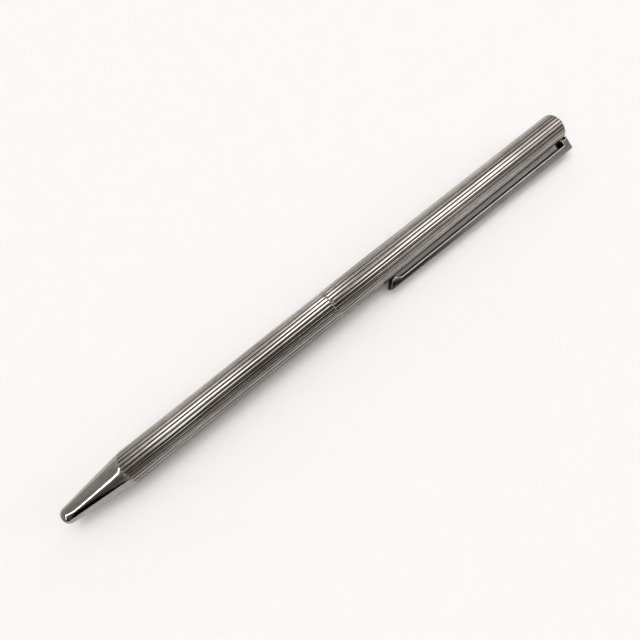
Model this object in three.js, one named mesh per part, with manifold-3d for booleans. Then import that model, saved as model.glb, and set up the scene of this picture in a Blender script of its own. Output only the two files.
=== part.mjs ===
// A slim twist-action ballpoint pen in polished metal, lying on a table with its clip turned down.
// Lengths are in millimetres. The axis runs along +X from the writing tip to the top end, +Z is up,
// and the pen rests on z = 0 with the middle of its base box at the origin.
// Turning the rear barrel by half a turn drives the refill out of the nose.
import * as THREE from "three";
import { mergeVertices } from "three/addons/utils/BufferGeometryUtils.js";
import Module from "manifold-3d";

const wasm = await Module();
wasm.setup();

const degree = Math.PI / 180;

// Barrels
const rearLength = 64.25; // seam to the rim at the top end
const seamGap = 0.1;
const barrelRadius = 3.65; // over the lands, at the front barrel and at the seam
const topRadius = 3.22; // the rear barrel tapers to this
const seamChamfer = 0.08;
const rimRound = 0.35; // rounded edge of the rim
const rimBand = 0.5; // plain band between the flutes and the rim
const topProud = 0.4; // the plug and the clip's foot stand this far out of the rim

// Nose cone, drawn in one piece with the front barrel
const coneLength = 15.6;
const coneBlend = 0.9; // half the length over which the cone bends into the barrel
const lipLength = 1.6; // rounded lip at the very tip
const lipHeight = 0.61;
const lipDepth = 1.5; // length of the hole through the lip
const shellWall = 0.45;

// Flutes
const fluteCount = 26;
const fluteDepth = 0.14;
const landShare = 0.6; // of the pitch
const floorShare = 0.2; // of the pitch
const fluteRunout = 0.3;
const frontFluteTurn = 0.8 * degree; // of each barrel's flutes, from a land under the clip
const rearFluteTurn = 5.5 * degree;

// Bores
const frontBore = barrelRadius - shellWall;
const camBore = 3.05; // rear barrel, round the mechanism
const topBore = 2.8; // rear barrel, behind the mechanism
const camBoreLength = 12;

// Nose guide, a brass bush in the cone
const guideStart = 2.6;
const guideLength = 7;
const guideFunnel = 0.5;

// Refill, of the common short metal kind
const refillLength = 67;
const refillRadius = 1.175;
const refillWall = 0.175;
const retractedDepth = 0.5; // the point lies this far inside the nose
const travel = 5;
const seamPastRefill = 0.75; // the seam lies this far behind the refill's end
const ballRadius = 0.35;
const ballSeat = 0.2; // from the ball's centre to the rim that holds it
const socketRim = 0.42; // radius of the tip's front rim
const tipCone = 3.2;
const tipConeRadius = 1.08;
const tipCollar = 0.6;
const tipShank = 3.6;
const inkChannel = 0.22;
const inkLength = 39;
const greaseLength = 3;
const ventPlugLength = 1.5;
const ventRadius = 0.25;

// Mechanism
const noseTubeLength = 9.8; // of the guide tube, ahead of the seam
const guideTubeRadius = 2.55;
const guideTubeWall = 0.35;
const guideTail = 1; // of the guide tube, behind its retaining ring
const flangeRadius = 2.97;
const flangeLength = 0.5;
const camLength = 9.6;
const camRadius = 2.99;
const slotMargin = 0.8; // metal left at the ends of the cam slots
const pinRadius = 0.4;
const carrierRadius = 2.1;
const carrierTail = 1.6; // of the carrier, behind its pin
const socketDepth = 7.4;
const colletSlot = 0.5;
const washerLength = 0.4;
const washerRadius = 2.93;
const ringLength = 0.4;
const ringGrip = 0.16; // depth of the retaining ring's groove
const ringGap = 50 * degree;
const linerLength = 15.8;
const linerRadius = 3.13;
const linerWall = 0.38;
const linerInset = 0.3; // the liner and its washer end this far inside the front barrel
const gripGroove = 0.3;
const gripSection = 0.22; // radius of the rubber ring's section
const gripPlace = 3; // from the front of the guide tube

// Clip
const clipLength = 52.5;
const clipWidth = 2.5;
const clipStandOff = 1.26; // from the barrel's top radius to the clip's inner face
const clipThicknessFoot = 1.57;
const clipThicknessFree = 1.07;
const footLength = 1.55;
const noseRound = 1.2;
const noseFrontSlope = 51 * degree;
const noseBackSlope = 40 * degree;
const clipEdge = 0.3; // rounding of the outer corners, seen from the side

// Clip fixing
const tangThickness = 0.65;
const tangWidth = 1.5;
const tangEye = 1.45;
const plugHead = 0.8;
const plugEdge = 0.2;
const plugStem = 0.75;
const plugStemLength = 5.5;
const blockLength = 5.2;

// Clearances
const turning = 0.06; // between pieces that turn or slide on each other
const seated = 0.05; // between pieces pressed or screwed together
const flexing = 0.2; // round the clip's foot and tang, which move as the clip bends

// Sides of the round pieces
const barrelSides = 48;
const innerSides = 28;
const smallSides = 20;

// Places along the pen, whose length follows from its refill's
const refillEnd = retractedDepth + refillLength;
const frontLength = refillEnd + seamPastRefill; // nose to the seam
const rearStart = frontLength + seamGap;
const rimPlace = rearStart + rearLength;
const penLength = rimPlace + topProud;
const camStart = rearStart + turning + flangeLength + turning;
const pinPlace = camStart + slotMargin + pinRadius + travel;
const camEnd = camStart + camLength;
const washerStart = camEnd + turning;
const ringStart = washerStart + washerLength + turning;
const guideTubeStart = frontLength - noseTubeLength;
const guideTubeEnd = ringStart + ringLength + guideTail;
const ballPlace = retractedDepth + ballRadius;
const tipStart = ballPlace - ballSeat;
const shoulderPlace = tipStart + tipCone;
const tubeStart = shoulderPlace + tipCollar;
const inkStart = tubeStart + tipShank + seated;
const greaseStart = inkStart + inkLength + seated;
const plugFace = penLength - plugHead;
const tangStart = plugFace - seated - tangThickness;
const blockEnd = tangStart - flexing;

// Radii that follow from the fits
const noseHole = refillRadius + 2 * turning;
const refillBore = refillRadius - refillWall;
const fillRadius = refillBore - seated;
const guideTubeBore = guideTubeRadius - guideTubeWall;
const sleeveBore = guideTubeRadius + turning;
const clipInner = topRadius + clipStandOff;
const clipOuter = clipInner + clipThicknessFoot;

// The clip lies this far below the pen's middle: its outer edge touches the table.
const cornerReach = Math.hypot(clipOuter, clipWidth / 2);
const restRoll = Math.asin(barrelRadius / cornerReach) - Math.atan2(clipWidth / 2, clipOuter);

// The barrels' outside over the lands, by place along the pen.
function coneRadius(x) {
  const tipRadius = noseHole + lipHeight;
  return tipRadius + ((barrelRadius - tipRadius) * (x - lipLength)) / (coneLength - lipLength);
}
function rearRadius(x) {
  return barrelRadius + ((topRadius - barrelRadius) * (x - rearStart)) / rearLength;
}

// A closed mesh as a solid that can be joined and cut.
function solid(geometry) {
  const bare = geometry.clone();
  bare.deleteAttribute("normal");
  bare.deleteAttribute("uv");
  const merged = mergeVertices(bare, 1e-5);
  const mesh = new wasm.Mesh({
    numProp: 3,
    vertProperties: new Float32Array(merged.attributes.position.array),
    triVerts: new Uint32Array(merged.index.array),
  });
  return new wasm.Manifold(mesh);
}

// A solid as a geometry that a mesh can show.
function surface(made) {
  const mesh = made.getMesh();
  const geometry = new THREE.BufferGeometry();
  geometry.setAttribute("position", new THREE.BufferAttribute(mesh.vertProperties, 3));
  geometry.setIndex(new THREE.BufferAttribute(mesh.triVerts, 1));
  geometry.computeVertexNormals();
  return geometry;
}

// A piece turned about the pen's axis. Its section is a list of [place, radius] points that runs
// towards the top end on the outside and comes back along the bore.
function turned(section, sides) {
  const points = section.map(([x, r]) => new THREE.Vector2(r, x));
  const geometry = new THREE.LatheGeometry(points, sides);
  geometry.rotateZ(-Math.PI / 2);
  return solid(geometry);
}
function rod(start, end, radius, sides) {
  return turned([[start, 0], [start, radius], [end, radius], [end, 0]], sides);
}
function tube(start, end, outer, inner, sides) {
  return turned([[start, inner], [start, outer], [end, outer], [end, inner], [start, inner]], sides);
}
function block(minimum, maximum) {
  const low = new THREE.Vector3(...minimum);
  const high = new THREE.Vector3(...maximum);
  const size = high.clone().sub(low);
  const geometry = new THREE.BoxGeometry(size.x, size.y, size.z);
  const middle = low.add(high).multiplyScalar(0.5);
  geometry.translate(middle.x, middle.y, middle.z);
  return solid(geometry);
}

// A solid through a row of rings with equally many points, closed by a fan at each end. The rings
// follow each other along +X, and their points run from +Z towards -Y.
function lofted(rings) {
  const count = rings[0].length;
  const middle = (ring) =>
    ring.reduce((sum, p) => sum.add(p), new THREE.Vector3()).divideScalar(count);
  const points = [...rings.flat(), middle(rings[0]), middle(rings.at(-1))];
  const faces = [];
  for (let i = 0; i < count; i++) {
    const next = (i + 1) % count;
    for (let k = 0; k + 1 < rings.length; k++) {
      const low = k * count;
      const high = low + count;
      faces.push(low + i, low + next, high + i);
      faces.push(high + next, high + i, low + next);
    }
    const last = (rings.length - 1) * count;
    faces.push(points.length - 2, next, i);
    faces.push(points.length - 1, last + i, last + next);
  }
  const geometry = new THREE.BufferGeometry().setFromPoints(points);
  geometry.setIndex(faces);
  return solid(geometry);
}

// A point at a place along the pen, at a radius and an angle from +Z towards -Y.
function around(x, radius, angle) {
  return new THREE.Vector3(x, -radius * Math.sin(angle), radius * Math.cos(angle));
}

// One ring of a fluted barrel: a land and a groove floor for each flute, from a land at startAngle.
function flutedRing(x, radius, depth, startAngle) {
  const pitch = (2 * Math.PI) / fluteCount;
  const corners = [
    [-landShare / 2, 0],
    [landShare / 2, 0],
    [0.5 - floorShare / 2, depth],
    [0.5 + floorShare / 2, depth],
  ];
  const ring = [];
  for (let flute = 0; flute < fluteCount; flute++) {
    for (const [share, sunk] of corners) {
      ring.push(around(x, radius - sunk, startAngle + (flute + share) * pitch));
    }
  }
  return ring;
}

const polished = { color: 0xb9b4ae, roughness: 0.16, metalness: 1 };
const brass = { color: 0xc9a55a, roughness: 0.3, metalness: 1 };
const steel = { color: 0xa9abad, roughness: 0.3, metalness: 1 };
const nickelSilver = { color: 0xb5b1a3, roughness: 0.25, metalness: 1 };
const acetal = { color: 0xe4e1d8, roughness: 0.5, metalness: 0 };
const nylon = { color: 0x2b2a29, roughness: 0.6, metalness: 0 };
const rubber = { color: 0x1a1a1a, roughness: 0.8, metalness: 0 };
const ink = { color: 0x14224f, roughness: 0.15, metalness: 0 };
const grease = { color: 0xd9d2b0, roughness: 0.2, metalness: 0 };

// A named piece with its own material.
function piece(name, made, finish) {
  const mesh = new THREE.Mesh(surface(made), new THREE.MeshStandardMaterial(finish));
  mesh.name = name;
  return mesh;
}

// Front barrel: rounded lip, nose cone and fluted tube drawn as one shell.
function frontBarrel() {
  const turn = Math.PI / 2 + restRoll + frontFluteTurn;
  const ring = (x, radius, depth) => flutedRing(x, radius, depth, turn);
  const rings = [];
  for (const share of [0, 1 / 4, 1 / 2, 3 / 4, 1]) {
    const bend = (share * Math.PI) / 2;
    rings.push(ring(lipLength * (1 - Math.cos(bend)), noseHole + lipHeight * Math.sin(bend), 0));
  }
  const blendStart = coneLength - coneBlend;
  const blendEnd = coneLength + coneBlend;
  // Half way round the bend the surface lies a quarter of the cone's drop below the sharp corner.
  const blendDrop = (barrelRadius - coneRadius(blendStart)) / 4;
  rings.push(ring(blendStart, coneRadius(blendStart), 0));
  rings.push(ring(coneLength, barrelRadius - blendDrop, 0));
  rings.push(ring(coneLength + fluteRunout, barrelRadius - blendDrop / 2, fluteDepth));
  rings.push(ring(blendEnd, barrelRadius, fluteDepth));
  rings.push(ring(frontLength - seamChamfer, barrelRadius, fluteDepth));
  rings.push(ring(frontLength, barrelRadius - seamChamfer, 0));
  const bore = turned(
    [
      [lipDepth, 0],
      [lipDepth, coneRadius(lipDepth) - shellWall],
      [coneLength, frontBore],
      [frontLength + 1, frontBore],
      [frontLength + 1, 0],
    ],
    barrelSides,
  );
  const hole = rod(-1, lipDepth + 1, noseHole, innerSides);
  return piece("front_barrel", lofted(rings).subtract(bore).subtract(hole), polished);
}

// Brass bush that centres the refill's point in the cone.
function noseGuide() {
  const outer = (x) => coneRadius(x) - shellWall - seated - turning;
  const end = guideStart + guideLength;
  const bore = refillRadius + turning;
  const section = [
    [guideStart, bore],
    [guideStart, outer(guideStart)],
    [end, outer(end)],
    [end, bore + guideFunnel],
    [end - guideFunnel, bore],
    [guideStart, bore],
  ];
  return piece("nose_guide", turned(section, innerSides), brass);
}

// Brass sleeve in the front barrel, which is pushed over the mechanism's front tube.
function frontLiner() {
  const end = frontLength - linerInset;
  const made = tube(end - linerLength, end, linerRadius, linerRadius - linerWall, innerSides);
  return piece("front_liner", made, brass);
}

// Brass tube that carries the mechanism: straight slots guide the follower pin.
function guideTube() {
  const gripStart = guideTubeStart + gripPlace;
  const gripEnd = gripStart + 2 * gripSection + 2 * seated;
  const flangeStart = rearStart + turning;
  const flangeEnd = flangeStart + flangeLength;
  const grooveEnd = ringStart + ringLength + seated;
  const section = [
    [guideTubeStart, guideTubeBore],
    [guideTubeStart, guideTubeRadius - guideTubeWall / 2],
    [guideTubeStart + guideTubeWall / 2, guideTubeRadius],
    [gripStart, guideTubeRadius],
    [gripStart, guideTubeRadius - gripGroove],
    [gripEnd, guideTubeRadius - gripGroove],
    [gripEnd, guideTubeRadius],
    [flangeStart, guideTubeRadius],
    [flangeStart, flangeRadius],
    [flangeEnd, flangeRadius],
    [flangeEnd, guideTubeRadius],
    [ringStart - seated, guideTubeRadius],
    [ringStart - seated, guideTubeRadius - ringGrip],
    [grooveEnd, guideTubeRadius - ringGrip],
    [grooveEnd, guideTubeRadius],
    [guideTubeEnd, guideTubeRadius],
    [guideTubeEnd, guideTubeBore],
    [guideTubeStart, guideTubeBore],
  ];
  const reach = pinRadius + turning;
  const slots = block(
    [pinPlace - travel - reach, -reach, -flangeRadius - 1],
    [pinPlace + reach, reach, flangeRadius + 1],
  );
  return piece("guide_tube", turned(section, innerSides).subtract(slots), brass);
}

// Rubber ring that holds the front barrel on.
function gripRing() {
  const centre = guideTubeStart + gripPlace + gripSection + seated;
  const radius = guideTubeRadius - gripGroove + seated + gripSection;
  const section = [];
  for (let i = 0; i <= 8; i++) {
    const angle = (-2 * Math.PI * i) / 8;
    section.push([centre + gripSection * Math.cos(angle), radius + gripSection * Math.sin(angle)]);
  }
  return piece("grip_ring", turned(section, innerSides), rubber);
}

// Thin dark washer behind the liner, which keeps the barrels a hair apart at the seam.
function seamWasher() {
  const start = frontLength - linerInset + seated;
  const made = tube(start, rearStart - seated, linerRadius, sleeveBore, innerSides);
  return piece("seam_washer", made, nylon);
}

// Sleeve pressed into the rear barrel. Each end of the follower pin runs in a slot that climbs
// by the refill's travel in half a turn.
function camSleeve() {
  const blank = tube(camStart, camEnd, camRadius, sleeveBore, innerSides);
  const steps = 12;
  const middleRadius = (camRadius + sleeveBore) / 2;
  const climb = Math.atan(travel / (Math.PI * middleRadius));
  const halfWidth = (pinRadius + turning) / Math.cos(climb);
  const endTurn = (pinRadius + turning) / sleeveBore;
  const slot = (startAngle) => {
    const rings = [];
    for (let i = 0; i <= steps; i++) {
      const turn = -endTurn + ((Math.PI + 2 * endTurn) * i) / steps;
      const x = pinPlace - (travel * turn) / Math.PI;
      const angle = startAngle + turn;
      rings.push([
        around(x - halfWidth, sleeveBore - 1, angle),
        around(x + halfWidth, sleeveBore - 1, angle),
        around(x + halfWidth, camRadius + 1, angle),
        around(x - halfWidth, camRadius + 1, angle),
      ]);
    }
    return lofted(rings);
  };
  return piece("cam_sleeve", blank.subtract(slot(0)).subtract(slot(Math.PI)), brass);
}

// Plastic washer that gives the twist its even drag.
function frictionWasher() {
  const made = tube(washerStart, washerStart + washerLength, washerRadius, sleeveBore, innerSides);
  return piece("friction_washer", made, acetal);
}

// Open spring ring that keeps the cam sleeve on the guide tube.
function retainingRing() {
  const inner = guideTubeRadius - ringGrip + seated;
  const shape = new THREE.Shape();
  shape.absarc(0, 0, washerRadius, ringGap / 2, 2 * Math.PI - ringGap / 2, false);
  shape.absarc(0, 0, inner, 2 * Math.PI - ringGap / 2, ringGap / 2, true);
  const geometry = new THREE.ExtrudeGeometry(shape, {
    depth: ringLength,
    bevelEnabled: false,
    curveSegments: innerSides,
  });
  geometry.rotateY(Math.PI / 2);
  geometry.translate(ringStart, 0, 0);
  return piece("retaining_ring", solid(geometry), steel);
}

// Plastic carrier: the refill's end is pushed into its slotted socket.
function carrier() {
  const mouth = refillEnd - socketDepth;
  const end = pinPlace + carrierTail;
  const socket = rod(mouth - 1, refillEnd + seated, refillRadius + seated, innerSides);
  const pinHole = uprightRod(pinPlace, carrierRadius + 1, pinRadius + seated);
  const slots = block(
    [mouth - 1, -colletSlot / 2, -carrierRadius - 1],
    [refillEnd - 1, colletSlot / 2, carrierRadius + 1],
  );
  const made = rod(mouth, end, carrierRadius, innerSides);
  return piece("carrier", made.subtract(socket).subtract(slots).subtract(pinHole), acetal);
}

// A rod that crosses the pen from below to above.
function uprightRod(x, reach, radius) {
  const geometry = new THREE.CylinderGeometry(radius, radius, 2 * reach, smallSides);
  geometry.rotateX(Math.PI / 2);
  geometry.translate(x, 0, 0);
  return solid(geometry);
}

// Steel pin across the carrier, through the guide tube's slots into the cam slots.
function followerPin() {
  return piece("follower_pin", uprightRod(pinPlace, camRadius - turning, pinRadius), steel);
}

// Refill
function refillTube() {
  const made = tube(tubeStart, refillEnd, refillRadius, refillBore, innerSides);
  return piece("refill_tube", made, brass);
}

// Turned tip whose rim holds the ball.
function refillTip() {
  const seatRadius = ballRadius + turning / 2;
  const shankEnd = tubeStart + tipShank;
  const opening = Math.acos(ballSeat / seatRadius);
  const close = Math.PI - Math.asin(inkChannel / seatRadius);
  const section = [
    [tipStart, socketRim],
    [shoulderPlace, tipConeRadius],
    [shoulderPlace, refillRadius],
    [tubeStart - seated, refillRadius],
    [tubeStart - seated, fillRadius],
    [shankEnd, fillRadius],
    [shankEnd, inkChannel],
  ];
  const steps = 5;
  for (let i = steps; i >= 0; i--) {
    const angle = opening + ((close - opening) * i) / steps;
    section.push([ballPlace - seatRadius * Math.cos(angle), seatRadius * Math.sin(angle)]);
  }
  section.push([tipStart, socketRim]);
  return piece("refill_tip", turned(section, smallSides), nickelSilver);
}

function refillBall() {
  const geometry = new THREE.SphereGeometry(ballRadius, 14, 10);
  geometry.translate(ballPlace, 0, 0);
  return piece("refill_ball", solid(geometry), steel);
}

function inkColumn() {
  return piece("ink", rod(inkStart, inkStart + inkLength, fillRadius, smallSides), ink);
}

// Grease that follows the ink and seals it.
function followerGrease() {
  const made = rod(greaseStart, greaseStart + greaseLength, fillRadius, smallSides);
  return piece("follower_grease", made, grease);
}

// Plug with an air hole at the refill's end.
function ventPlug() {
  const made = tube(refillEnd - ventPlugLength, refillEnd, fillRadius, ventRadius, smallSides);
  return piece("vent_plug", made, acetal);
}

// Rear barrel: tapered fluted shell with a notch at its end for the clip's tang. Its clip points
// along -Y until the whole barrel is rolled.
function rearBarrel() {
  const turn = Math.PI / 2 + rearFluteTurn;
  const ring = (x, radius, depth) => flutedRing(x, radius, depth, turn);
  const fluteEnd = rimPlace - rimBand;
  const rings = [
    ring(rearStart, barrelRadius - seamChamfer, 0),
    ring(rearStart + seamChamfer, rearRadius(rearStart + seamChamfer), fluteDepth),
    ring(fluteEnd - fluteRunout, rearRadius(fluteEnd - fluteRunout), fluteDepth),
    ring(fluteEnd, rearRadius(fluteEnd), 0),
  ];
  const bend = rimPlace - rimRound;
  for (const share of [1 / 3, 2 / 3, 1]) {
    const angle = (share * Math.PI) / 2;
    const drop = rimRound * (1 - Math.cos(angle));
    rings.push(ring(bend + rimRound * Math.sin(angle), rearRadius(bend) - drop, 0));
  }
  const camBoreEnd = rearStart + camBoreLength;
  const bore = turned(
    [
      [rearStart - 1, 0],
      [rearStart - 1, camBore],
      [camBoreEnd, camBore],
      [camBoreEnd, topBore],
      [penLength + 1, topBore],
      [penLength + 1, 0],
    ],
    barrelSides,
  );
  const notch = block(
    [tangStart - flexing, -barrelRadius - 1, -tangWidth / 2 - flexing],
    [penLength + 1, 0, tangWidth / 2 + flexing],
  );
  return piece("rear_barrel", lofted(rings).subtract(bore).subtract(notch), polished);
}

// Clip: a solid bar with a nose that presses on the barrel, a foot at the top end, and a tang
// whose eye is clamped inside.
function clip() {
  const freeEnd = penLength - clipLength;
  const outer = (x) => {
    const share = (x - freeEnd) / clipLength;
    return clipInner + clipThicknessFree + (clipThicknessFoot - clipThicknessFree) * share;
  };
  const outerFree = outer(freeEnd);
  // The nose is an arc between two slopes. Its front slope runs out to the bar's outer face.
  const arcRun = noseRound * Math.sin(noseFrontSlope);
  const arcRise = noseRound * (1 - Math.cos(noseFrontSlope));
  const contactGap = seated + turning;
  const frontRun = (radius) => (outerFree - radius - arcRise) / Math.tan(noseFrontSlope);
  const noseGuess = rearRadius(freeEnd) + contactGap;
  const noseX = freeEnd + frontRun(noseGuess) + arcRun;
  const noseBottom = rearRadius(noseX) + contactGap;
  const centre = noseBottom + noseRound;
  const backX = noseX + noseRound * Math.sin(noseBackSlope);
  const backRadius = centre - noseRound * Math.cos(noseBackSlope);
  const innerX = backX + (clipInner - backRadius) / Math.tan(noseBackSlope);
  const footStart = penLength - footLength;
  const footInner = topRadius + flexing;
  // The foot hooks over the barrel's rim and ends beside the plug.
  const hookStart = rimPlace + seated;
  const hookInner = topBore - seated + flexing;
  const shape = new THREE.Shape();
  shape.moveTo(freeEnd + clipEdge / 2, -(outerFree - clipEdge));
  shape.absarc(
    noseX,
    -centre,
    noseRound,
    Math.PI / 2 + noseFrontSlope,
    Math.PI / 2 - noseBackSlope,
    true,
  );
  shape.lineTo(innerX, -clipInner);
  shape.lineTo(footStart, -clipInner);
  shape.lineTo(footStart, -footInner);
  shape.lineTo(hookStart, -footInner);
  shape.lineTo(hookStart, -hookInner);
  shape.lineTo(penLength, -hookInner);
  shape.lineTo(penLength, -(clipOuter - clipEdge));
  shape.lineTo(penLength - clipEdge, -outer(penLength - clipEdge));
  shape.lineTo(freeEnd + clipEdge, -outer(freeEnd + clipEdge));
  const bar = new THREE.ExtrudeGeometry(shape, {
    depth: clipWidth,
    bevelEnabled: false,
    curveSegments: 8,
  });
  bar.translate(0, 0, -clipWidth / 2);
  const tangEnd = tangStart + tangThickness;
  const tang = block(
    [tangStart, -footInner - flexing, -tangWidth / 2],
    [tangEnd, 0, tangWidth / 2],
  );
  const eye = rod(tangStart, tangEnd, tangEye, smallSides);
  const hole = rod(tangStart - 1, tangEnd + 1, plugStem + flexing, smallSides);
  return piece("clip", solid(bar).add(tang).add(eye).subtract(hole), polished);
}

// Brass block inside the barrel's end, which takes the plug's stem.
function clipBlock() {
  const made = tube(
    blockEnd - blockLength,
    blockEnd,
    topBore - seated,
    plugStem + seated,
    innerSides,
  );
  return piece("clip_block", made, brass);
}

// Flat plug that closes the top end and clamps the clip's tang.
function endPlug() {
  const section = [
    [plugFace - plugStemLength, 0],
    [plugFace - plugStemLength, plugStem],
    [plugFace, plugStem],
    [plugFace, topBore - seated],
    [penLength - plugEdge, topBore - seated],
    [penLength, topBore - seated - plugEdge],
    [penLength, 0],
  ];
  return piece("end_plug", turned(section, barrelSides), polished);
}

const pen = new THREE.Group();

const frontPieces = new THREE.Group();
frontPieces.add(frontBarrel(), noseGuide(), frontLiner());

const mechanism = new THREE.Group();
mechanism.add(guideTube(), gripRing(), seamWasher(), frictionWasher(), retainingRing());
mechanism.add(carrier(), followerPin(), camSleeve());

const refill = new THREE.Group();
refill.add(refillTube(), refillTip(), refillBall(), inkColumn(), followerGrease(), ventPlug());

const rearPieces = new THREE.Group();
rearPieces.add(rearBarrel(), clip(), clipBlock(), endPlug());
rearPieces.rotation.x = restRoll;

pen.add(frontPieces, mechanism, refill, rearPieces);

// The origin is the middle of the base of the box round the whole pen.
pen.updateMatrixWorld(true);
const box = new THREE.Box3().setFromObject(pen, true);
pen.position.set(-(box.min.x + box.max.x) / 2, -(box.min.y + box.max.y) / 2, -box.min.z);

export default pen;
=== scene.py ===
"""Looks of a slim twist ballpoint pen in polished plated metal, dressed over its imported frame.

Sizes are named in millimetres and turned to metres where a mesh is made. A mesh is first made in
the pen's own directions: x from the writing tip along the axis, -Y towards the clip, +Z up.
"""

import math

import bmesh
import bpy
from mathutils import Matrix, Vector


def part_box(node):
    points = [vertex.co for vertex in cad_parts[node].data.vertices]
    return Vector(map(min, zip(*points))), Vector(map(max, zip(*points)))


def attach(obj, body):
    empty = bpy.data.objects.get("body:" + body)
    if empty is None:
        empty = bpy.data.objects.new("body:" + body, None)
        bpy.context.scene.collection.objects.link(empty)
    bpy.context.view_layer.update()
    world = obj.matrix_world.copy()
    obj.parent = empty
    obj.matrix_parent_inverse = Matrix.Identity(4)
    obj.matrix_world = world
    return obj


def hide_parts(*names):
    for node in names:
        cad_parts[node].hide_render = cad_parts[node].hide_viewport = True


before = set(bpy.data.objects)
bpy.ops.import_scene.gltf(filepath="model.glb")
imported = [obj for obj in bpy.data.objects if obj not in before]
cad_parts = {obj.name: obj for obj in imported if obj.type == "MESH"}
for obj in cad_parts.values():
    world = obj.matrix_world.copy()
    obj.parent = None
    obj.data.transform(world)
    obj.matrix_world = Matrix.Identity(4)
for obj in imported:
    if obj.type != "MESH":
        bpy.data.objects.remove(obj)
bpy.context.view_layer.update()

MM = 0.001
DEGREE = math.pi / 180

# Barrels
FRONT_LENGTH = 68.25
REAR_START = 68.35
RIM_PLACE = 132.6
PEN_LENGTH = 133.0
BARREL_RADIUS = 3.65
TOP_RADIUS = 3.22
SEAM_CHAMFER = 0.08
RIM_ROUND = 0.35
SHELL_WALL = 0.45

# Nose cone
CONE_LENGTH = 15.6
CONE_BLEND = 0.9
LIP_LENGTH = 1.6
LIP_HEIGHT = 0.61
LIP_DEPTH = 1.5
NOSE_HOLE = 1.295
LIP_RADIUS = NOSE_HOLE + LIP_HEIGHT
CONE_RISE = (BARREL_RADIUS - LIP_RADIUS) / (CONE_LENGTH - LIP_LENGTH)
# Where the cone has rings. Those near its ends keep the shading of its bends short.
CONE_RINGS = (LIP_LENGTH, 3.0, 6.0, 10.0, 14.0)
LIP_STEPS = 12
BEND_STEPS = 16

# Flutes
FLUTES = 26
FLUTE_DEPTH = 0.17
LAND_SHARE = 0.62
FLOOR_SHARE = 0.1
LAND_CROWN = 0.022
FLUTE_RUNOUT = 0.35
FLUTE_END_ROUND = 0.25
FRONT_FLUTE_TURN = 0.8 * DEGREE
REAR_FLUTE_TURN = 5.5 * DEGREE
# How far the flutes start before the shoulder, and pass the barrels' ends at the seam and the rim.
SHOULDER_LEAD = 0.25
SEAM_OVERRUN = 0.1
RIM_OVERRUN = 0.2
# How far from both ends of a fluted tube its rings stand, close enough to draw the run-out.
FRONT_TUBE_RINGS = (0.1, 0.2, 0.3, 0.4, 0.55, 0.8)
REAR_TUBE_RINGS = (0.05, 0.15, 0.25, 0.35, 0.5, 0.8, 1.1)
LEAST_RING_GAP = 0.02
# Where the points of one flute stand, as shares of its pitch from the middle of its land.
FLUTE_POINTS = (
    -0.31, -0.2, -0.1, 0.0, 0.1, 0.2, 0.31,
    0.34, 0.37, 0.4, 0.425, 0.45, 0.5, 0.55, 0.575, 0.6, 0.63, 0.66,
)

# Bores and the notch for the clip's tang
FRONT_BORE = BARREL_RADIUS - SHELL_WALL
CAM_BORE = 3.05
TOP_BORE = 2.8
CAM_BORE_LENGTH = 12.0
TANG_WIDTH = 1.5
TANG_THICKNESS = 0.65
TANG_EYE = 1.45
PLUG_HEAD = 0.8
PLUG_EDGE = 0.2
PLUG_STEM = 0.75
PLUG_STEM_LENGTH = 5.5
TANG_OVERLAP = 0.2
CUT_MARGIN = 1.0
# Clearances round pieces that are seated, that turn and that flex
SEATED = 0.05
TURNING = 0.06
FLEXING = 0.2
PLUG_FACE = PEN_LENGTH - PLUG_HEAD
TANG_START = PLUG_FACE - SEATED - TANG_THICKNESS
TANG_END = TANG_START + TANG_THICKNESS

# Clip
CLIP_LENGTH = 52.5
CLIP_WIDTH = 2.5
CLIP_STAND = 1.26
CLIP_INNER = TOP_RADIUS + CLIP_STAND
CLIP_FOOT = 1.57
CLIP_FREE = 1.07
FOOT_LENGTH = 1.55
NOSE_ROUND = 1.2
NOSE_FRONT_SLOPE = 51 * DEGREE
NOSE_BACK_SLOPE = 40 * DEGREE
CLIP_EDGE = 0.3
CLIP_SIDE_EDGE = 0.13
CLIP_OUTER = CLIP_INNER + CLIP_FOOT
# The turns at the clip's small corners: points as (along, towards the axis) from the sharp corner.
VALLEY_RUN = 0.35
VALLEY_TURN = ((-0.12, 0.08), (0.15, 0.015), (0.45, 0.0))
FOOT_TURN = ((-0.2, 0.0), (-0.06, 0.06), (0.0, 0.2))
FREE_TURN = ((CLIP_EDGE, 0.02), (0.12, 0.1), (0.08, CLIP_EDGE))
# How strongly the clip's faces are darkened with painted shade and painted dark reflection, and
# which faces count: within these stretches of the foot and the free end, with at least these
# shares of their normals towards tip or barrel.
FOOT_PAINTED_SHADE = 1.0
FREE_END_PAINTED_SHADE = 0.85
INNER_PAINTED_SHADE = 0.6
FOOT_STRETCH = FOOT_LENGTH + 1.0
FREE_END_STRETCH = 1.5
FOOT_TO_TIP = 0.7
FREE_END_TO_TIP = 0.5
INNER_TO_BARREL = 0.8
# The pen lies on its barrels and the clip's outer edge, which rolls it by this angle.
REST_ROLL = math.asin(BARREL_RADIUS / math.hypot(CLIP_OUTER, CLIP_WIDTH / 2)) - math.atan2(
    CLIP_WIDTH / 2, CLIP_OUTER
)

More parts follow.
